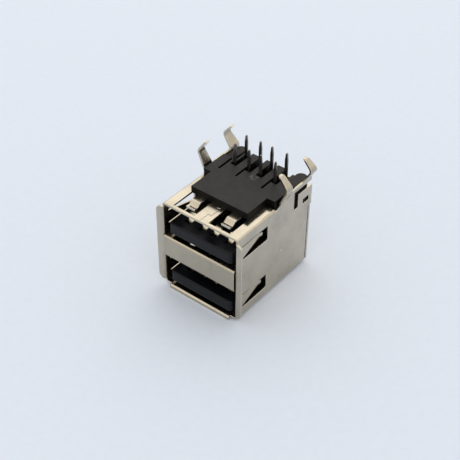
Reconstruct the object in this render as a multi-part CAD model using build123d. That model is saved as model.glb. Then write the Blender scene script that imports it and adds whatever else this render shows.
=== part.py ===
from build123d import *
import os

# A stacked pair of sockets for flat plugs, lying on its outer side with its board side up.
# All sizes are in millimetres. X runs across the mouths and is zero in the middle, Y runs from
# the front flanges to the back, and Z runs up from the lip that the socket lies on.

# Sheet metal of the shells
sheet = 0.30
fold = 0.30             # radius of a fold, at the middle of the sheet
corner_fold = 0.45      # outer radius of the tube's four long edges
rim_round = 0.12        # outer edge of the tube's front rim

# The two mouths
port_width = 12.50
port_height = 5.12
port_pitch = 8.75

# Lengths along Y
panel_front = 0.30      # front edge of the board side
panel_rear = 8.50       # rear edge of the board side
wall_rear = 16.50
ear_rear = 17.20

# Front flanges and lip
flange_reach = 0.90     # outward from the side wall
flange_bottom = 0.95
flange_drop = 0.57      # from the board side to the flange's top
flange_corner = 0.90
lip_width = 10.70
lip_lead = 0.15         # how far the lip stands ahead of the flanges
lip_corner = 0.20

# Openings and springs in the board side and in the side that it lies on
strip_inner = 4.90      # half of the distance between the two side strips
strip_middle = 1.20     # half of the middle strip
window_front = 0.78
window_rear = 7.90
finger_place = 3.05
finger_width = 1.50
finger_flat = 3.35      # the finger is flat behind this
finger_low = 2.75
finger_tip = 2.10
finger_dip = 0.48
tongue_side_dip = 0.18  # of the fingers between a floor and its tongue
finger_curl = 0.10
finger_bend = 0.35

# Seam of the tube, with one dovetail
seam_gap = 0.06
dovetail_start = 2.30
dovetail_length = 1.60
dovetail_depth = 0.55
dovetail_flare = 0.20

# Side springs, one in each side wall of each mouth
side_window_front = 1.20
side_window_rear = 6.90
side_window_height = 2.40
blade_root = 2.00
blade_tip = 0.45
blade_end = 6.35
blade_bend_y = 5.70
blade_dip = 0.55
blade_flare = 0.10

# Pressed half round in each side wall
lance_y = 10.60
lance_radius = 1.10
lance_angle = 17.0

# Rear upper outline of the side walls, with rises and drops from the board side
wall_rise = 0.88        # to the top of the plate behind the front leg
plate_step = 0.05       # from the front leg to the plate
slot_front = 12.90
slot_rear = 13.90
slot_drop = 2.77
arm_height = 0.60
ear_drop = 0.57
ear_height = 3.45
ear_window_front = 15.05
ear_window_rear = 16.50
ear_window_rise = 1.10  # from the ear's bottom
ear_window_height = 0.85

# Legs that lock in the board
leg_width = 1.95
leg_pitch = 5.68
front_leg_y = 10.30
front_leg_seat = 0.07   # below the board side
rear_leg_seat = 0.10    # above the wall's top
leg_kink_out = 1.30
leg_kink_rise = 3.08    # the rises are from the board side
leg_tip_out = -0.10
front_leg_rise = 5.03
rear_leg_rise = 4.68
leg_bend = 0.80
leg_tip_width = 0.85
leg_tip_radius = 0.28

# Sheet between the two mouths
divider_fold = 0.20
divider_play = 0.06     # beside each side wall
divider_rear_gap = 0.05
divider_lead = 0.10     # how far its front stands ahead of the flanges

# Housing with its two tongues
housing_play = 0.05
housing_front = 9.00
upper_block_rear = 11.40
lower_block_rear = 14.20
lower_block_drop = 1.35 # from the upper floor
housing_drop = 1.37     # from the board side
tongue_front = 0.30
tongue_width = 11.10
tongue_thickness = 1.84
tongue_lift = 0.56      # from the floor of its mouth
tongue_round = 0.60
tongue_edge = 0.15

# Contacts
contact_places = (-3.50, -1.00, 1.00, 3.50)
contact_width = 1.00
contact_thickness = 0.25
contact_play = 0.05
contact_tip_y = 2.60
contact_tip_width = 0.50
contact_taper = 0.90
contact_tip_drop = 0.46
contact_crest_y = 3.35
contact_crest_rise = 0.75
contact_rest_y = 6.40
contact_bend = 0.30
pocket_depth = 0.75
pocket_lead = 0.80      # free length of the pocket ahead of the contact
near_row_y = 12.40
row_pitch = 2.62
tail_width = 0.46
tail_tip_width = 0.20
tail_taper = 1.10
tail_rise = 4.43        # from the board side
shoulder = 1.60         # full width above the bend

# Tail organiser
organiser_rise = 1.07   # from the board side, up to the board
organiser_front = 4.50
organiser_wide_front = 8.78
organiser_rear = 15.90
organiser_foot = 0.85   # from the ear's bottom
organiser_narrow = 4.88
organiser_play = 0.06
comb_front = 12.00
corner_step_front = 13.30
corner_step_inner = 4.00
corner_step_drop = 0.50
lobe_inner = 4.40
lobe_y = 16.20          # middle of the round end of each outer corner
slit_width = 0.35
slit_front = 10.10
slit_rear = 13.30
slit_depth = 0.80
slit_places = (-4.57, -1.55, 2.90)
latch_reach = 0.30
latch_play = 0.08
latch_land = 0.35

# Rear cover
cover_gap = 0.20
cover_foot_front = 14.40
cover_foot_width = 10.90
cover_bottom = 0.60
cover_step = 0.30       # from the ear's top down to the cover's top
cover_play = 0.08

# Sizes that follow
underside = sheet                                   # the cover's foot lies under the tube
half_width = port_width / 2 + sheet
wall_middle = half_width - sheet / 2
lower_floor = underside + sheet
upper_floor = lower_floor + port_pitch
shell_top = upper_floor + port_height + sheet
shell_height = shell_top - underside
flange_top = shell_top - flange_drop
wall_top = shell_top + wall_rise
slot_bottom = shell_top - slot_drop
ear_top = shell_top - ear_drop
ear_bottom = ear_top - ear_height
ear_window_bottom = ear_bottom + ear_window_rise
plate_front = front_leg_y + leg_width / 2 + plate_step
front_leg_base = shell_top - front_leg_seat
rear_leg_base = wall_top + rear_leg_seat
leg_kink_z = shell_top + leg_kink_rise
lower_block_top = upper_floor - lower_block_drop
housing_top = shell_top - housing_drop
tail_top = shell_top + tail_rise
organiser_top = shell_top + organiser_rise
organiser_bottom = ear_bottom + organiser_foot
cover_top = ear_top - cover_step
far_row_y = near_row_y + row_pitch
reach = 40.0                                        # longer than the whole part


def box(x0, x1, y0, y1, z0, z1):
    """A block between two corners."""
    return Pos((x0 + x1) / 2, (y0 + y1) / 2, (z0 + z1) / 2) * Box(x1 - x0, y1 - y0, z1 - z0)


def bent_sheet(plane, points, radius, thickness, width):
    """Sheet that follows a line with rounded corners, as wide as width about the plane."""
    line = FilletPolyline(*points, radius=radius)
    return extrude(plane * trace(line, thickness), amount=width / 2, both=True)


def pulled(plane, place, face, length):
    """Solid pulled from a flat outline along the plane's own direction."""
    return extrude(plane * place * face, amount=length, dir=plane.z_dir)


def side_plane(x):
    return Plane.YZ.offset(x)


def cross_plane(y):
    return Plane.XZ.offset(-y)


def both_sides(piece):
    return piece + mirror(piece, about=Plane.YZ)


def finger_windows(z):
    """The two openings that hold the springs of a flat side."""
    opening = box(strip_middle, strip_inner, window_front, window_rear, z - sheet, z + sheet)
    return both_sides(opening)


def finger_pair(z, dip, curl):
    """Two springs that run flat from the back, dip into the mouth and curl at their free ends."""
    points = [
        (window_rear + sheet, z),
        (finger_flat, z),
        (finger_low, z + dip),
        (finger_tip, z + dip - curl),
    ]
    return both_sides(bent_sheet(side_plane(finger_place), points, finger_bend, sheet, finger_width))


def side_blade(z):
    """Tapered side spring, rooted at the front and pressed inward."""
    points = [
        (wall_middle, side_window_front - sheet),
        (wall_middle, side_window_front),
        (wall_middle - blade_dip, blade_bend_y),
        (wall_middle - blade_dip + blade_flare, blade_end),
    ]
    strip = bent_sheet(Plane.XY.offset(z), points, fold, sheet, side_window_height)
    outline = Polygon(
        (side_window_front - sheet, -blade_root / 2),
        (side_window_front - sheet, blade_root / 2),
        (side_window_front, blade_root / 2),
        (blade_end, blade_tip / 2),
        (blade_end, -blade_tip / 2),
        (side_window_front, -blade_root / 2),
        align=None,
    )
    return strip & pulled(side_plane(0), Pos(0, z), outline, reach)


def leg(y, base_z, tip_z):
    """Kinked leg that springs out behind the board, narrowing from its rear edge to the tip."""
    kink = Vector(wall_middle + leg_kink_out, leg_kink_z)
    tip = Vector(wall_middle + leg_tip_out, tip_z)
    beyond = tip + (tip - kink).normalized() * sheet
    points = [(wall_middle, base_z - sheet), (wall_middle, base_z), kink, beyond]
    strip = bent_sheet(cross_plane(y), points, leg_bend, sheet, leg_width + 2 * sheet)
    front = y - leg_width / 2
    outline = Polygon(
        (front, base_z - 2 * sheet),
        (front, tip_z),
        (front + leg_tip_width, tip_z),
        (front + leg_width, base_z),
        (front + leg_width, base_z - 2 * sheet),
        align=None,
    )
    outline = fillet(outline.vertices().group_by(Axis.Y)[-1], leg_tip_radius)
    return strip & pulled(side_plane(0), Pos(0, 0), outline, reach)


def wall_plate():
    """Upper rear part of a side wall: leg seat, plate, arm and ear, cut from one sheet."""
    low = shell_top - corner_fold - sheet
    arm_end = front_leg_y + leg_pitch + leg_width / 2
    outline = Polygon(
        (panel_rear, low),
        (panel_rear, shell_top - corner_fold),
        (front_leg_y - leg_width / 2, front_leg_base),
        (front_leg_y + leg_width / 2, front_leg_base),
        (plate_front, wall_top),
        (arm_end, wall_top),
        (arm_end, wall_top - arm_height),
        (slot_front, wall_top - arm_height),
        (slot_front, low),
        align=None,
    )
    return pulled(side_plane(half_width - sheet), Pos(0, 0), outline, sheet)


def lance():
    """Half round of the wall, pressed inward at its curved edge."""
    disc = Circle(lance_radius) & Pos(-lance_radius / 2, 0) * Rectangle(lance_radius, 2 * lance_radius)
    place = Pos(lance_y, lower_floor + (port_height + port_pitch) / 2)
    tab = pulled(side_plane(half_width - sheet), place, disc, sheet)
    hinge = Axis((half_width, lance_y, 0), (0, 0, 1))
    return tab, tab.rotate(hinge, -lance_angle)


def seam():
    """Line where the two ends of the folded tube meet on the board side."""
    end = dovetail_start + dovetail_length
    line = Polyline(
        (0, 0),
        (0, dovetail_start),
        (dovetail_depth, dovetail_start - dovetail_flare),
        (dovetail_depth, end + dovetail_flare),
        (0, end),
        (0, panel_rear + sheet),
    )
    return pulled(Plane.XY.offset(shell_top - 2 * sheet), Pos(0, 0), trace(line, seam_gap), 3 * sheet)


def flanges():
    """Front edges of the side walls, folded outward."""
    points = [
        (wall_middle, 4 * fold),
        (wall_middle, sheet / 2),
        (half_width + flange_reach, sheet / 2),
    ]
    height = flange_top - flange_bottom
    middle = (flange_top + flange_bottom) / 2
    strip = both_sides(bent_sheet(Plane.XY.offset(middle), points, fold, sheet, height))
    outline = RectangleRounded(2 * (half_width + flange_reach), height, flange_corner)
    return strip & pulled(cross_plane(0), Pos(0, middle), outline, -reach)


def lip():
    """Front edge of the side that the socket lies on, folded outward."""
    middle = underside + sheet / 2
    front = sheet / 2 - lip_lead
    points = [(4 * fold, middle), (front, middle), (front, 0)]
    strip = bent_sheet(side_plane(0), points, fold - sheet / 4, sheet, lip_width)
    height = 4 * middle
    outline = Rectangle(lip_width, height)
    outline = fillet(outline.vertices().group_by(Axis.Y)[0], lip_corner)
    return strip & pulled(cross_plane(-lip_lead - sheet), Pos(0, height / 2), outline, -reach)


def make_front_shell():
    """One folded sheet: a tube round both mouths with flanges, springs, legs and ears."""
    inner_round = corner_fold - sheet
    section = RectangleRounded(2 * half_width, shell_height, corner_fold)
    section -= RectangleRounded(port_width, shell_height - 2 * sheet, inner_round)
    middle = Pos(0, (shell_top + underside) / 2)
    shell = pulled(cross_plane(panel_front), middle, section, panel_front - ear_rear)
    rim = shell.edges().group_by(Axis.Y)[0].group_by(Axis.Z)[-1]
    shell = fillet(rim, rim_round)

    # Front corners make room for the flanges
    bend_start = fold + sheet / 2
    shell -= both_sides(box(port_width / 2 - sheet, half_width + sheet, 0, bend_start, flange_bottom, flange_top))

    # The board side ends in front of the organiser, and the walls end before the cover
    top_cut = shell_top - corner_fold
    shell -= box(-reach, reach, panel_rear, reach, top_cut, reach)
    shell -= box(-reach, reach, wall_rear, reach, 0, ear_bottom)
    shell -= both_sides(box(port_width / 2 - sheet, reach, slot_front, slot_rear, slot_bottom, reach))
    shell -= box(-reach, reach, slot_rear - sheet, reach, ear_top, reach)
    shell -= both_sides(
        box(
            port_width / 2 - sheet,
            reach,
            ear_window_front,
            ear_window_rear,
            ear_window_bottom,
            ear_window_bottom + ear_window_height,
        )
    )
    rear = wall_plate()
    rear += leg(front_leg_y, front_leg_base, shell_top + front_leg_rise)
    rear += leg(front_leg_y + leg_pitch, rear_leg_base, shell_top + rear_leg_rise)
    shell += both_sides(rear)

    # Springs of the board side and of the side opposite
    for z, dip, curl in (
        (shell_top - sheet / 2, -finger_dip, -finger_curl),
        (underside + sheet / 2, tongue_side_dip, finger_curl),
    ):
        shell -= finger_windows(z)
        shell += finger_pair(z, dip, curl)

    # Springs of the side walls
    for floor in (lower_floor, upper_floor):
        z = floor + port_height / 2
        half = side_window_height / 2
        opening = box(
            port_width / 2 - sheet,
            half_width + sheet,
            side_window_front,
            side_window_rear,
            z - half,
            z + half,
        )
        shell -= both_sides(opening)
        shell += both_sides(side_blade(z))

    flat_tab, pressed_tab = lance()
    shell -= both_sides(flat_tab)
    shell += both_sides(pressed_tab)

    shell += flanges()
    shell += lip()
    return shell - seam()


def make_rear_cover():
    """Plate that closes the back, with a foot folded under the tube."""
    plate_y = wall_rear + cover_gap + sheet / 2
    points = [(cover_foot_front, sheet / 2), (plate_y, sheet / 2), (plate_y, cover_top)]
    strip = bent_sheet(side_plane(0), points, fold, sheet, 2 * half_width)
    strip -= both_sides(box(cover_foot_width / 2, reach, 0, reach, 0, cover_bottom))
    narrow = port_width / 2 - cover_play
    return strip - both_sides(box(narrow, reach, 0, reach, ear_bottom - cover_play, reach))


def make_middle_shield():
    """Folded sheet between the mouths: two floors joined by the front band."""
    top = upper_floor - sheet / 2
    bottom = lower_floor + port_height + sheet / 2
    front = sheet / 2 - divider_lead
    rear = housing_front - divider_rear_gap
    points = [(rear, top), (front, top), (front, bottom), (rear, bottom)]
    shield = bent_sheet(side_plane(0), points, divider_fold, sheet, port_width - 2 * divider_play)
    for z, dip, curl in ((top, tongue_side_dip, finger_curl), (bottom, -finger_dip, -finger_curl)):
        shield -= finger_windows(z)
        shield += finger_pair(z, dip, curl)
    return shield


def tongue_top(floor):
    return floor + tongue_lift + tongue_thickness


def make_housing():
    """One moulding: a stepped rear block and a tongue for each mouth."""
    half = port_width / 2 - housing_play
    low = lower_floor + housing_play
    profile = Polygon(
        (housing_front, low),
        (lower_block_rear, low),
        (lower_block_rear, lower_block_top),
        (upper_block_rear, lower_block_top),
        (upper_block_rear, housing_top),
        (housing_front, housing_top),
        align=None,
    )
    housing = extrude(side_plane(0) * profile, amount=half, both=True)

    # Pockets for the pressed half rounds of the side walls
    middle = lower_floor + (port_height + port_pitch) / 2
    pocket = box(
        half - lance_radius / 2,
        half_width,
        lance_y - lance_radius - housing_play,
        lance_y + housing_play,
        middle - lance_radius - housing_play,
        middle + lance_radius + housing_play,
    )
    housing -= both_sides(pocket)

    for floor in (lower_floor, upper_floor):
        blade = box(
            -tongue_width / 2,
            tongue_width / 2,
            tongue_front,
            housing_front + sheet,
            floor + tongue_lift,
            tongue_top(floor),
        )
        front_edges = blade.edges().filter_by(Axis.Z).group_by(Axis.Y)[0]
        blade = fillet(front_edges, tongue_round)
        rims = blade.edges().group_by(Axis.Z)
        blade = chamfer(rims[0].filter_by(GeomType.LINE) + rims[-1].filter_by(GeomType.LINE), tongue_edge)
        housing += blade
        rear = lower_block_rear if floor == lower_floor else upper_block_rear
        housing -= contact_spaces(floor, rear)
    return housing


def contact_spaces(floor, rear):
    """Grooves along the tongue and channels through the block, one for each contact."""
    half = contact_width / 2 + contact_play
    top = tongue_top(floor)
    roof = top + contact_play
    bottom = top - contact_thickness - contact_play
    front = contact_tip_y - pocket_lead
    spaces = []
    for x in contact_places:
        spaces.append(box(x - half, x + half, front, contact_rest_y, top - pocket_depth, roof))
        spaces.append(box(x - half, x + half, contact_rest_y - sheet, rear + sheet, bottom, roof))
    return Part() + spaces


def make_contact(floor, row_y):
    """Spring contact on a tongue, bent once toward the board and drawn out to a tail."""
    level = tongue_top(floor) - contact_thickness / 2
    points = [
        (contact_tip_y, level - contact_tip_drop),
        (contact_crest_y, level + contact_crest_rise),
        (contact_rest_y, level),
        (row_y, level),
        (row_y, level + shoulder),
    ]
    beam = bent_sheet(side_plane(0), points, contact_bend, contact_thickness, contact_width)

    # The nose narrows toward its tip
    low = level - contact_tip_drop - contact_thickness
    corner = Polygon(
        (contact_tip_width / 2, low),
        (contact_width, low),
        (contact_width, low + contact_taper),
        (contact_width / 2, low + contact_taper),
        align=None,
    )
    beam -= both_sides(pulled(cross_plane(0), Pos(0, 0), corner, -contact_crest_y))

    tail = Polygon(
        (-tail_width / 2, level + shoulder - contact_play),
        (tail_width / 2, level + shoulder - contact_play),
        (tail_width / 2, tail_top - tail_taper),
        (tail_tip_width / 2, tail_top),
        (-tail_tip_width / 2, tail_top),
        (-tail_width / 2, tail_top - tail_taper),
        align=None,
    )
    return beam + extrude(cross_plane(row_y) * tail, amount=contact_thickness / 2, both=True)


def make_tail_organiser():
    """Black comb that lines up the tails and meets the board with its top."""
    wide = port_width / 2 - organiser_play
    profile = Polygon(
        (organiser_front, shell_top),
        (organiser_front, organiser_top),
        (organiser_rear, organiser_top),
        (organiser_rear, organiser_bottom),
        (comb_front, organiser_bottom),
        (comb_front, housing_top + organiser_play),
        (organiser_wide_front, housing_top + organiser_play),
        (organiser_wide_front, shell_top),
        align=None,
    )
    comb = extrude(side_plane(0) * profile, amount=wide, both=True)
    comb -= both_sides(box(organiser_narrow, reach, 0, organiser_wide_front, 0, reach))

    # The outer corners step down and end in round lobes over the cover
    step = organiser_top - corner_step_drop
    comb -= both_sides(box(corner_step_inner, reach, corner_step_front, reach, step, reach))
    low = cover_top + organiser_play
    lobe_radius = (wide - lobe_inner) / 2
    lobe_x = wide - lobe_radius
    lobe = box(lobe_inner, wide, corner_step_front, lobe_y, low, step)
    lobe += Pos(lobe_x, lobe_y, (low + step) / 2) * Cylinder(lobe_radius, step - low)
    comb += both_sides(lobe)

    # Slots for the tails and thin slits beside them, of which one runs out beside its lobe
    slot_half = contact_width / 2 + contact_play
    for x in contact_places:
        comb -= box(x - slot_half, x + slot_half, comb_front, reach, 0, reach)
    half = slit_width / 2
    for x in slit_places:
        comb -= box(x - half, x + half, slit_front, slit_rear, organiser_top - slit_depth, reach)
    x = slit_places[0]
    comb -= box(x - half, x + half, corner_step_front, reach, step - slit_depth, reach)

    # Latches that snap into the windows of the ears
    front = ear_window_front + latch_play
    rear = ear_window_rear - latch_play
    bottom = ear_window_bottom + latch_play
    ramp = Polygon(
        (wide - sheet, front),
        (wide + latch_reach, front),
        (wide + latch_reach, front + latch_land),
        (wide, rear),
        (wide - sheet, rear),
        align=None,
    )
    latch = pulled(Plane.XY.offset(bottom), Pos(0, 0), ramp, ear_window_height - 2 * latch_play)
    return comb + both_sides(latch)


def save(piece, name):
    piece.label = name
    export_step(piece, os.path.join("parts", name + ".step"))


os.makedirs("parts", exist_ok=True)
save(make_front_shell(), "front_shell")
save(make_rear_cover(), "rear_cover")
save(make_middle_shield(), "middle_shield")
save(make_housing(), "housing")
save(make_tail_organiser(), "tail_organiser")
upper_contact = make_contact(upper_floor, near_row_y)
lower_contact = make_contact(lower_floor, far_row_y)
for number, place in enumerate(contact_places, start=1):
    save(Pos(place, 0, 0) * upper_contact, f"upper_contact_{number}")
    save(Pos(place, 0, 0) * lower_contact, f"lower_contact_{number}")
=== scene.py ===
import math

import bpy
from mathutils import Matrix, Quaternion, Vector


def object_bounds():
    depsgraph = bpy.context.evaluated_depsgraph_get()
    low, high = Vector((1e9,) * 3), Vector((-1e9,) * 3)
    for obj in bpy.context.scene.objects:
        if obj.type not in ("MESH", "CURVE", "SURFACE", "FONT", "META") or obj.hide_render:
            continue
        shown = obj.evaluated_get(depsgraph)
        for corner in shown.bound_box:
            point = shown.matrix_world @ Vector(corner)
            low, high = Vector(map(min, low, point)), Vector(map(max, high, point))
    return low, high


# A stacked pair of sockets for flat plugs: folded plated shell, dark tongues, tinned contacts
# and a dull black organiser for the tails. Everything is in metres, in the frame of the solids.

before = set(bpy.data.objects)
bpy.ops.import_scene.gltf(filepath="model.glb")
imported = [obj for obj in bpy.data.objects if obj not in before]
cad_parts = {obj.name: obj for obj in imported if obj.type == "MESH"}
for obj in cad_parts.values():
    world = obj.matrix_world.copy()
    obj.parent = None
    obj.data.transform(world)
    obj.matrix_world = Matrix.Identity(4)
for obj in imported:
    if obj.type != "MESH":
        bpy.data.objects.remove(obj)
solid_low, solid_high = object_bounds()

MM = 0.001

# Camera, as the photograph was taken
CAMERA_PLACE = Vector((64.21, -74.86, 94.83)) * MM
CAMERA_AIM = Vector((-0.43, 7.50, 8.37)) * MM
CAMERA_ROLL = 0.46
CAMERA_LENS = 75.16
CAMERA_SENSOR = 36.0
CAMERA_CLIP = (0.01, 10.0)

# Sky: the level of its light, and the levels it shows, near the horizon and overhead
SKY_COLOUR = (0.93, 0.95, 0.98, 1.0)
SKY_LEVEL = 0.87
MIRRORED_SKY_COLOUR = (1.0, 0.96, 0.88, 1.0)
SHOWN_SKY_LEVEL = (0.95, 1.28)
SKY_RISE = (0.15, 0.50)

# Lamps
KEY_PLACE = Vector((-0.23, 0.305, 0.32))
KEY_SIZE = 0.55
KEY_POWER = 0.42
KEY_COLOUR = (1.0, 0.98, 0.95)
FILL_PLACE = Vector((0.10, -0.40, 0.30))
FILL_SIZE = 0.35
FILL_POWER = 0.13
FILL_COLOUR = (0.94, 0.97, 1.0)

# Floor
FLOOR_COLOUR = (0.82, 0.86, 0.92, 1.0)
FLOOR_REACH = 3.0
FLOOR_ROUGHNESS = 0.8
FLOOR_TONE = (0.98, 1.0)

# Plated sheet of the shell and the cover, and the same sheet in darker colours for the shield
# between the mouths: its darkness is painted shade
SHEET_COLOUR = (0.515, 0.467, 0.382, 1.0)
SHEET_STAIN = (0.435, 0.397, 0.330, 1.0)
# Lighter edge colour: partly bare cut metal, partly a painted highlight on edges and folds
EDGE_METAL_AND_HIGHLIGHT = (0.86, 0.81, 0.70, 1.0)
SHIELD_PAINTED_SHADE_COLOUR = (0.450, 0.402, 0.318, 1.0)
SHIELD_PAINTED_SHADE_STAIN = (0.395, 0.356, 0.286, 1.0)
SHEET_ROUGHNESS = (0.13, 0.30)
SHEET_LINE_ROUGHNESS = (-0.03, 0.05)
SHEET_EDGE_ROUND = 0.09 * MM
SHEET_EDGE_REACH = 0.20
WAVE_BUMP = (0.05 * MM, 0.35)
LINE_BUMP = (0.003 * MM, 0.2)

# Contacts: bright on the tongues, dull tin on the tails, with the heights of the change
NOSE_COLOUR = (0.72, 0.66, 0.54, 1.0)
TAIL_COLOUR = (0.21, 0.19, 0.185, 1.0)
TAIL_RISE = (13.0 * MM, 15.5 * MM)
CONTACT_ROUGHNESS = (0.20, 0.26)
CONTACT_PATCH_ROUGHNESS = (-0.03, 0.10)
CONTACT_FINENESS = 1.4
CONTACT_EDGE_WEAR_AND_HIGHLIGHT = 0.4
CONTACT_EDGE_ROUND = 0.04 * MM
CONTACT_EDGE_REACH = 0.25
CONTACT_BUMP = (0.006 * MM, 0.6)

# Housing with the tongues
TONGUE_COLOUR = (0.003, 0.0035, 0.005, 1.0)
TONGUE_LIGHT = (0.006, 0.007, 0.010, 1.0)
TONGUE_GLOSS = 0.18
TONGUE_ROUGHNESS = (0.30, 0.42)
TONGUE_FINENESS = 0.8
TONGUE_EDGE_ROUND = 0.30 * MM
TONGUE_BUMP = (0.008 * MM, 0.4)

# Tail organiser, with its top faces and rims lightened as a painted highlight, dust and one light
# scuff beside the tails
ORGANISER_COLOUR = (0.0025, 0.0023, 0.0022, 1.0)
ORGANISER_LIGHT = (0.0055, 0.005, 0.0048, 1.0)
# Top faces are lightened towards this colour: a painted highlight standing in for the overhead
# light
ORGANISER_PAINTED_TOP_LIGHT = (0.042, 0.040, 0.0375, 1.0)
ORGANISER_GLOSS = 0.10
ORGANISER_ROUGHNESS = (0.42, 0.56)
ORGANISER_EDGE_ROUND = 0.09 * MM
ORGANISER_BUMP = (0.015 * MM, 0.6)
# Dust colour, also used for the painted highlight on the rims
DUST_AND_RIM_HIGHLIGHT_COLOUR = (0.075, 0.072, 0.068, 1.0)
RIM_HIGHLIGHT_SHARE = 0.25
DUST_SHARE = 0.5
SCUFF_COLOUR = (0.17, 0.165, 0.155, 1.0)
SCUFF_PLACE = Vector((0.55, 11.50, 15.84)) * MM
SCUFF_REACH = (0.30 * MM, 0.85 * MM)

# Rounding of all edges
MOULDING_EDGE_REACH = 0.30
EDGE_SAMPLES = 8

# Patterns: each has its scale, detail and roughness, and then the part of it that counts
ROLL_ACROSS = 14000.0
ROLL_ALONG = 500.0
ROLL_DETAIL = (3.0, 0.6)
ROLL_RANGE = (0.3, 0.7)
WAVES = (650.0, 2.0, 0.5)
PATCHES = (280.0, 4.0, 0.62)
PATCH_RANGE = (0.38, 0.68)
PIT_SCALE = 9000.0
PIT_DETAIL = (3.0, 0.6)
TONE = (420.0, 5.0, 0.65)
TONE_RANGE = (0.35, 0.70)
PAINTED_TOP_LIGHT_NOISE = (700.0, 4.0, 0.6)
PAINTED_TOP_LIGHT_RANGE = (0.25, 0.75)
PAINTED_TOP_LIGHT_LEAST = 0.75
SPECKS = (7500.0, 2.0, 0.5)
SPECK_RANGE = (0.70, 0.78)
RUBBING = (2800.0, 4.0, 0.7)
RUBBING_RANGE = (0.46, 0.62)
FLOOR_GRAIN = (900.0, 3.0, 0.5)
FLOOR_GRAIN_RANGE = (0.3, 0.7)

# How far a face has to look up before it counts as level, and before it gathers dust and is
# lightened as a painted highlight
LEVEL_FACE = (0.6, 0.8)
DUSTY_AND_LIT_FACE = (0.55, 0.95)


def fill(tree, inputs, sockets):
    """Feeds each named input with a plain value or with another node's result."""
    for name, value in sockets.items():
        if isinstance(value, bpy.types.NodeSocket):
            tree.links.new(value, inputs[name])
        else:
            inputs[name].default_value = value


def place(tree, kind, sockets=None, **settings):
    """A node with its settings and its inputs."""
    made = tree.nodes.new(kind)
    for name, value in settings.items():
        setattr(made, name, value)
    fill(tree, made.inputs, sockets or {})
    return made


def spread(tree, value, low, high, to_low=0.0, to_high=1.0):
    """A value carried evenly from one range to another, and held at its ends."""
    sockets = {"Value": value, 1: low, 2: high, 3: to_low, 4: to_high}
    return place(tree, "ShaderNodeMapRange", sockets, clamp=True).outputs["Result"]


def worked_out(tree, first, how, second=0.0):
    """The result of a sum with one value or two."""
    return place(tree, "ShaderNodeMath", {0: first, 1: second}, operation=how).outputs[0]


def blend_colour(tree, share, first, second):
    """The first colour where the share is none, and the second where it is full."""
    mixed = tree.nodes.new("ShaderNodeMix")
    mixed.data_type = "RGBA"
    inputs = {socket.name: socket for socket in mixed.inputs if socket.enabled}
    fill(tree, inputs, {"Factor": share, "A": first, "B": second})
    return next(socket for socket in mixed.outputs if socket.enabled)


def noise(tree, vector, scale, detail, roughness):
    sockets = {"Vector": vector, "Scale": scale, "Detail": detail, "Roughness": roughness}
    return place(tree, "ShaderNodeTexNoise", sockets).outputs["Fac"]


def stretched_noise(tree, vector, stretch, scale):
    """Noise drawn out into lines."""
    drawn_out = place(tree, "ShaderNodeMapping", {"Vector": vector, "Scale": stretch})
    return noise(tree, drawn_out.outputs["Vector"], scale, *ROLL_DETAIL)


def height_of(tree, vector):
    return place(tree, "ShaderNodeSeparateXYZ", {0: vector}).outputs["Z"]


def surface(tree, which):
    return tree.nodes.new("ShaderNodeNewGeometry").outputs[which]


def bumped(tree, height, bump, normal):
    """A normal disturbed by a height, for a bump's distance and strength."""
    distance, strength = bump
    sockets = {"Height": height, "Distance": distance, "Strength": strength, "Normal": normal}
    return place(tree, "ShaderNodeBump", sockets).outputs["Normal"]


def group(name, inputs, outputs):
    """An empty effect with named inputs and outputs, and its two end nodes."""
    tree = bpy.data.node_groups.new(name, "ShaderNodeTree")
    for socket, kind, value in inputs:
        made = tree.interface.new_socket(name=socket, in_out="INPUT", socket_type=kind)
        if value is not None:
            made.default_value = value
    for socket, kind in outputs:
        tree.interface.new_socket(name=socket, in_out="OUTPUT", socket_type=kind)
    start = tree.nodes.new("NodeGroupInput")
    end = tree.nodes.new("NodeGroupOutput")
    return tree, start.outputs, end.inputs


def make_edge_effect():
    """Softened edges: a rounded normal and a mask that is white on the edges."""
    tree, start, end = group(
        "softened edges",
        [
            ("Radius", "NodeSocketFloat", SHEET_EDGE_ROUND),
            ("Reach", "NodeSocketFloat", SHEET_EDGE_REACH),
        ],
        [("Normal", "NodeSocketVector"), ("Edge", "NodeSocketFloat")],
    )
    bevel = place(tree, "ShaderNodeBevel", {"Radius": start["Radius"]}, samples=EDGE_SAMPLES)
    rounded = bevel.outputs["Normal"]
    flat = surface(tree, "True Normal")
    same = place(tree, "ShaderNodeVectorMath", {0: rounded, 1: flat}, operation="DOT_PRODUCT")
    turned = worked_out(tree, 1.0, "SUBTRACT", same.outputs["Value"])
    share = worked_out(tree, turned, "DIVIDE", start["Reach"])
    mask = place(tree, "ShaderNodeClamp", {"Value": share}).outputs[0]
    fill(tree, end, {"Normal": rounded, "Edge": mask})
    return tree


def make_rolled_effect():
    """Rolled sheet: fine lines round the folded sheet, broad waves and dull patches."""
    tree, start, end = group(
        "rolled sheet",
        [("Vector", "NodeSocketVector", None), ("Fineness", "NodeSocketFloat", 1.0)],
        [
            ("Lines", "NodeSocketFloat"),
            ("Waves", "NodeSocketFloat"),
            ("Patches", "NodeSocketFloat"),
        ],
    )
    vector = start["Vector"]
    upright = (ROLL_ACROSS, ROLL_ACROSS, ROLL_ALONG)
    across = (ROLL_ALONG, ROLL_ACROSS, ROLL_ACROSS)
    upright = stretched_noise(tree, vector, upright, start["Fineness"])
    across = stretched_noise(tree, vector, across, start["Fineness"])
    level = worked_out(tree, height_of(tree, surface(tree, "True Normal")), "ABSOLUTE")
    choice = spread(tree, level, *LEVEL_FACE)
    lines = place(tree, "ShaderNodeMix", {0: choice, 2: upright, 3: across}).outputs[0]
    waves = noise(tree, vector, *WAVES)
    patches = spread(tree, noise(tree, vector, *PATCHES), *PATCH_RANGE)
    fill(tree, end, {"Lines": lines, "Waves": waves, "Patches": patches})
    return tree


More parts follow.
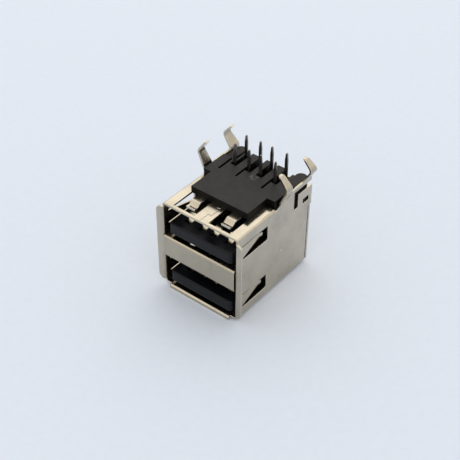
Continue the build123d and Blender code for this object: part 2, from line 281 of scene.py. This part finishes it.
def make_grain_effect():
    """Moulded grain: fine pits, slow changes of tone, and dust and a patchy painted highlight on
    what faces up.
    """
    tree, start, end = group(
        "moulded grain",
        [("Vector", "NodeSocketVector", None), ("Fineness", "NodeSocketFloat", 1.0)],
        [
            ("Pits", "NodeSocketFloat"),
            ("Tone", "NodeSocketFloat"),
            ("Painted Top Light", "NodeSocketFloat"),
            ("Dust", "NodeSocketFloat"),
        ],
    )
    vector = start["Vector"]
    fine = worked_out(tree, start["Fineness"], "MULTIPLY", PIT_SCALE)
    pits = noise(tree, vector, fine, *PIT_DETAIL)
    tone = spread(tree, noise(tree, vector, *TONE), *TONE_RANGE)
    upward = spread(tree, height_of(tree, surface(tree, "Normal")), *DUSTY_AND_LIT_FACE)
    patchy = spread(tree, noise(tree, vector, *PAINTED_TOP_LIGHT_NOISE), *PAINTED_TOP_LIGHT_RANGE, PAINTED_TOP_LIGHT_LEAST, 1.0)
    # Painted highlight on the faces that look up
    painted_top_light = worked_out(tree, upward, "MULTIPLY", patchy)
    specks = spread(tree, noise(tree, vector, *SPECKS), *SPECK_RANGE)
    dust = worked_out(tree, upward, "MULTIPLY", specks)
    fill(tree, end, {"Pits": pits, "Tone": tone, "Painted Top Light": painted_top_light, "Dust": dust})
    return tree


EDGE_EFFECT = make_edge_effect()
ROLLED_EFFECT = make_rolled_effect()
GRAIN_EFFECT = make_grain_effect()


def effect(tree, which, **sockets):
    """An effect placed in a material with its own values."""
    made = place(tree, "ShaderNodeGroup", node_tree=which)
    fill(tree, made.inputs, sockets)
    return made.outputs


def start_material(name):
    """A new material with its shader's sockets and the object's own coordinates."""
    material = bpy.data.materials.new(name)
    material.use_nodes = True
    tree = material.node_tree
    shader = tree.nodes["Principled BSDF"]
    where = tree.nodes.new("ShaderNodeTexCoord").outputs["Object"]
    return material, tree, shader.inputs, where


def plated_sheet(name, clean, stained):
    """Bright plated sheet with rolling lines, dull patches, and lighter edges that are partly bare
    cut metal and partly a painted highlight.
    """
    material, tree, shader, where = start_material(name)
    edge = effect(tree, EDGE_EFFECT, Radius=SHEET_EDGE_ROUND, Reach=SHEET_EDGE_REACH)
    rolled = effect(tree, ROLLED_EFFECT, Vector=where, Fineness=1.0)
    colour = blend_colour(tree, rolled["Patches"], clean, stained)
    # Lighter edges: partly bare cut metal, partly a painted highlight
    colour = blend_colour(tree, edge["Edge"], colour, EDGE_METAL_AND_HIGHLIGHT)
    dull = spread(tree, rolled["Patches"], 0.0, 1.0, *SHEET_ROUGHNESS)
    lined = spread(tree, rolled["Lines"], *ROLL_RANGE, *SHEET_LINE_ROUGHNESS)
    roughness = worked_out(tree, dull, "ADD", lined)
    normal = bumped(tree, rolled["Waves"], WAVE_BUMP, edge["Normal"])
    normal = bumped(tree, rolled["Lines"], LINE_BUMP, normal)
    sockets = {"Base Color": colour, "Metallic": 1.0, "Roughness": roughness, "Normal": normal}
    fill(tree, shader, sockets)
    return material


def tinned_spring():
    """Springs that are bright where they touch the plug and dull where they meet the board."""
    material, tree, shader, where = start_material("tinned_spring")
    edge = effect(tree, EDGE_EFFECT, Radius=CONTACT_EDGE_ROUND, Reach=CONTACT_EDGE_REACH)
    rolled = effect(tree, ROLLED_EFFECT, Vector=where, Fineness=CONTACT_FINENESS)
    tail = spread(tree, height_of(tree, where), *TAIL_RISE)
    colour = blend_colour(tree, tail, NOSE_COLOUR, TAIL_COLOUR)
    # Lighter spring edges in the same colour: partly wear, partly a painted highlight
    worn_and_highlit = worked_out(tree, edge["Edge"], "MULTIPLY", CONTACT_EDGE_WEAR_AND_HIGHLIGHT)
    colour = blend_colour(tree, worn_and_highlit, colour, EDGE_METAL_AND_HIGHLIGHT)
    dull = spread(tree, tail, 0.0, 1.0, *CONTACT_ROUGHNESS)
    patchy = spread(tree, rolled["Patches"], 0.0, 1.0, *CONTACT_PATCH_ROUGHNESS)
    roughness = worked_out(tree, dull, "ADD", patchy)
    normal = bumped(tree, rolled["Lines"], CONTACT_BUMP, edge["Normal"])
    sockets = {"Base Color": colour, "Metallic": 1.0, "Roughness": roughness, "Normal": normal}
    fill(tree, shader, sockets)
    return material


def smooth_black_moulding():
    """Smooth, nearly black moulding with a slight sheen."""
    material, tree, shader, where = start_material("smooth_black_moulding")
    edge = effect(tree, EDGE_EFFECT, Radius=TONGUE_EDGE_ROUND, Reach=MOULDING_EDGE_REACH)
    grain = effect(tree, GRAIN_EFFECT, Vector=where, Fineness=TONGUE_FINENESS)
    colour = blend_colour(tree, grain["Tone"], TONGUE_COLOUR, TONGUE_LIGHT)
    roughness = spread(tree, grain["Tone"], 0.0, 1.0, *TONGUE_ROUGHNESS)
    normal = bumped(tree, grain["Pits"], TONGUE_BUMP, edge["Normal"])
    fill(tree, shader, {"Base Color": colour, "Roughness": roughness, "Normal": normal})
    shader["Specular IOR Level"].default_value = TONGUE_GLOSS
    return material


def dull_black_moulding():
    """Dull black moulding with a fine grain, its rims and top faces lightened as a painted
    highlight, and dust and a scuff on top.
    """
    material, tree, shader, where = start_material("dull_black_moulding")
    edge = effect(tree, EDGE_EFFECT, Radius=ORGANISER_EDGE_ROUND, Reach=MOULDING_EDGE_REACH)
    grain = effect(tree, GRAIN_EFFECT, Vector=where, Fineness=1.0)
    colour = blend_colour(tree, grain["Tone"], ORGANISER_COLOUR, ORGANISER_LIGHT)
    # Painted highlight: the top faces lighter, as if lit from above
    colour = blend_colour(tree, grain["Painted Top Light"], colour, ORGANISER_PAINTED_TOP_LIGHT)
    # Painted highlight: the rims are lightened towards the dust colour
    rim_highlight = worked_out(tree, edge["Edge"], "MULTIPLY", RIM_HIGHLIGHT_SHARE)
    colour = blend_colour(tree, rim_highlight, colour, DUST_AND_RIM_HIGHLIGHT_COLOUR)
    dust = worked_out(tree, grain["Dust"], "MULTIPLY", DUST_SHARE)
    colour = blend_colour(tree, dust, colour, DUST_AND_RIM_HIGHLIGHT_COLOUR)
    away = place(tree, "ShaderNodeVectorMath", {0: where, 1: SCUFF_PLACE}, operation="DISTANCE")
    near = spread(tree, away.outputs["Value"], *SCUFF_REACH, 1.0, 0.0)
    rubbed = spread(tree, noise(tree, where, *RUBBING), *RUBBING_RANGE)
    scuff = worked_out(tree, near, "MULTIPLY", rubbed)
    colour = blend_colour(tree, scuff, colour, SCUFF_COLOUR)
    roughness = spread(tree, grain["Tone"], 0.0, 1.0, *ORGANISER_ROUGHNESS)
    normal = bumped(tree, grain["Pits"], ORGANISER_BUMP, edge["Normal"])
    fill(tree, shader, {"Base Color": colour, "Roughness": roughness, "Normal": normal})
    shader["Specular IOR Level"].default_value = ORGANISER_GLOSS
    return material


def pale_floor():
    """Matt pale floor, very slightly uneven in tone."""
    material, tree, shader, where = start_material("pale_floor")
    grain = noise(tree, where, *FLOOR_GRAIN)
    tone = spread(tree, grain, *FLOOR_GRAIN_RANGE, *FLOOR_TONE)
    tint = place(tree, "ShaderNodeHueSaturation", {"Color": FLOOR_COLOUR, "Value": tone})
    tree.links.new(tint.outputs["Color"], shader["Base Color"])
    shader["Roughness"].default_value = FLOOR_ROUGHNESS
    return material


def dress(names, material):
    """Gives the solids of some nodes a finish."""
    for name in names:
        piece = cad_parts[name]
        piece.data.materials.clear()
        piece.data.materials.append(material)


contact_names = [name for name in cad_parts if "contact" in name]
shell_sheet = plated_sheet("plated_sheet", SHEET_COLOUR, SHEET_STAIN)
# The shield gets the plated sheet in darker colours, as painted shade
shaded_shield_sheet = plated_sheet("shaded_plated_sheet", SHIELD_PAINTED_SHADE_COLOUR, SHIELD_PAINTED_SHADE_STAIN)
dress(["front_shell", "rear_cover"], shell_sheet)
dress(["middle_shield"], shaded_shield_sheet)
dress(["housing"], smooth_black_moulding())
dress(["tail_organiser"], dull_black_moulding())
dress(contact_names, tinned_spring())


def add_object(name, data):
    made = bpy.data.objects.new(name, data)
    bpy.context.scene.collection.objects.link(made)
    return made


def point(made, where, aim, roll=0.0):
    """Puts an object somewhere, points it at a place and rolls it by some degrees."""
    ahead = (aim - where).to_track_quat("-Z", "Y")
    made.location = where
    made.rotation_mode = "QUATERNION"
    made.rotation_quaternion = ahead @ Quaternion((0.0, 0.0, 1.0), math.radians(roll))


def make_floor():
    """Plain floor under the socket."""
    height = solid_low.z
    corners = [
        (-FLOOR_REACH, -FLOOR_REACH, height),
        (FLOOR_REACH, -FLOOR_REACH, height),
        (FLOOR_REACH, FLOOR_REACH, height),
        (-FLOOR_REACH, FLOOR_REACH, height),
    ]
    mesh = bpy.data.meshes.new("floor")
    mesh.from_pydata(corners, [], [(0, 1, 2, 3)])
    mesh.materials.append(pale_floor())
    floor = add_object("floor", mesh)


def make_sky():
    """Even light from all round. Where a mirror or the camera sees it, it is brighter overhead."""
    world = bpy.data.worlds.new("soft_room")
    world.use_nodes = True
    tree = world.node_tree
    tree.nodes.clear()
    path = tree.nodes.new("ShaderNodeLightPath").outputs
    seen = worked_out(tree, path["Is Camera Ray"], "MAXIMUM", path["Is Glossy Ray"])
    seen = worked_out(tree, seen, "MAXIMUM", path["Is Transmission Ray"])
    where = tree.nodes.new("ShaderNodeTexCoord").outputs["Generated"]
    shown = spread(tree, height_of(tree, where), *SKY_RISE, *SHOWN_SKY_LEVEL)
    level = spread(tree, seen, 0.0, 1.0, SKY_LEVEL, shown)
    tint = blend_colour(tree, path["Is Glossy Ray"], SKY_COLOUR, MIRRORED_SKY_COLOUR)
    sky = place(tree, "ShaderNodeBackground", {"Color": tint, "Strength": level})
    end = tree.nodes.new("ShaderNodeOutputWorld")
    tree.links.new(sky.outputs[0], end.inputs["Surface"])
    bpy.context.scene.world = world


def make_lamp(name, where, size, power, colour):
    """Soft square lamp that faces the socket."""
    data = bpy.data.lights.new(name, "AREA")
    data.shape = "SQUARE"
    data.size = size
    data.energy = power
    data.color = colour
    point(add_object(name, data), where, (solid_low + solid_high) / 2)


def make_camera():
    data = bpy.data.cameras.new("camera")
    data.sensor_width = CAMERA_SENSOR
    data.lens = CAMERA_LENS
    data.clip_start, data.clip_end = CAMERA_CLIP
    camera = add_object("camera", data)
    point(camera, CAMERA_PLACE, CAMERA_AIM, CAMERA_ROLL)
    bpy.context.scene.camera = camera


make_floor()
make_sky()
make_lamp("key_lamp", KEY_PLACE, KEY_SIZE, KEY_POWER, KEY_COLOUR)
make_lamp("fill_lamp", FILL_PLACE, FILL_SIZE, FILL_POWER, FILL_COLOUR)
make_camera()
bpy.context.scene.view_settings.view_transform = "Standard"
